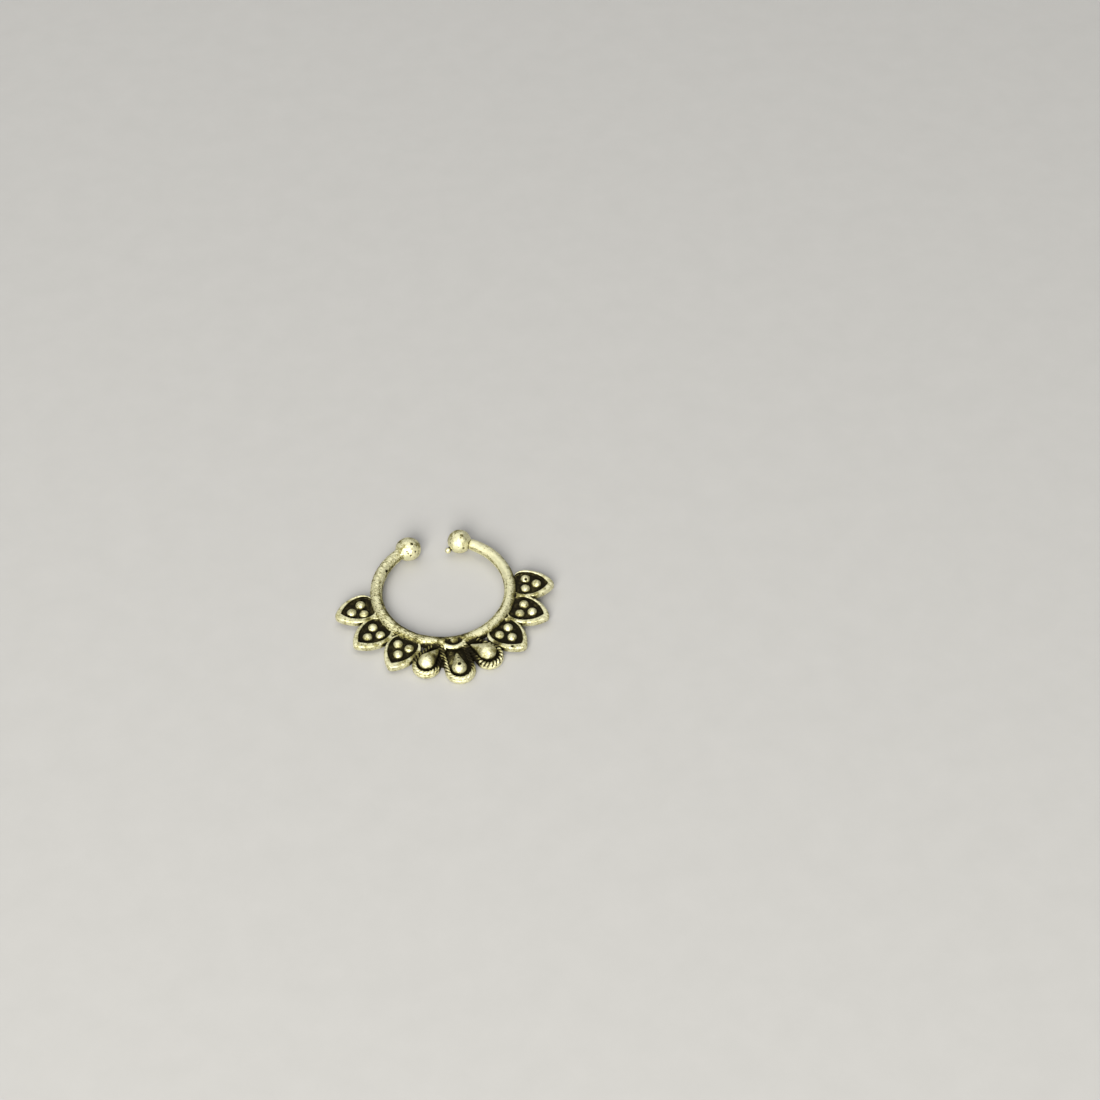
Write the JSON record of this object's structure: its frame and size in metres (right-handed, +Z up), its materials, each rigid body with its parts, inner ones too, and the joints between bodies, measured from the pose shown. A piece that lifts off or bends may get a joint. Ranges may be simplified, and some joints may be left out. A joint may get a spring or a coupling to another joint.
{
  "type": "clip-on nose ring",
  "caption": "Open clip-on nose ring: a round wire hoop with ball ends, and a fan of granulated leaf petals and teardrop drops round its front.",
  "frame": {"origin": "on the surface that the ring lies on, under the middle of its box", "axes": "+X to the wearer's left along the fan of petals, +Y towards the opening between the balls, +Z up from the surface"},
  "size_m": [0.0204, 0.0176, 0.0023],
  "materials": {
    "antique_silver": "antique silver plate, worn pale yellow on the high places and blackened in the hollows"
  },
  "bodies": {
    "root": {"nose_ring": "antique_silver"}
  },
  "joints": []
}
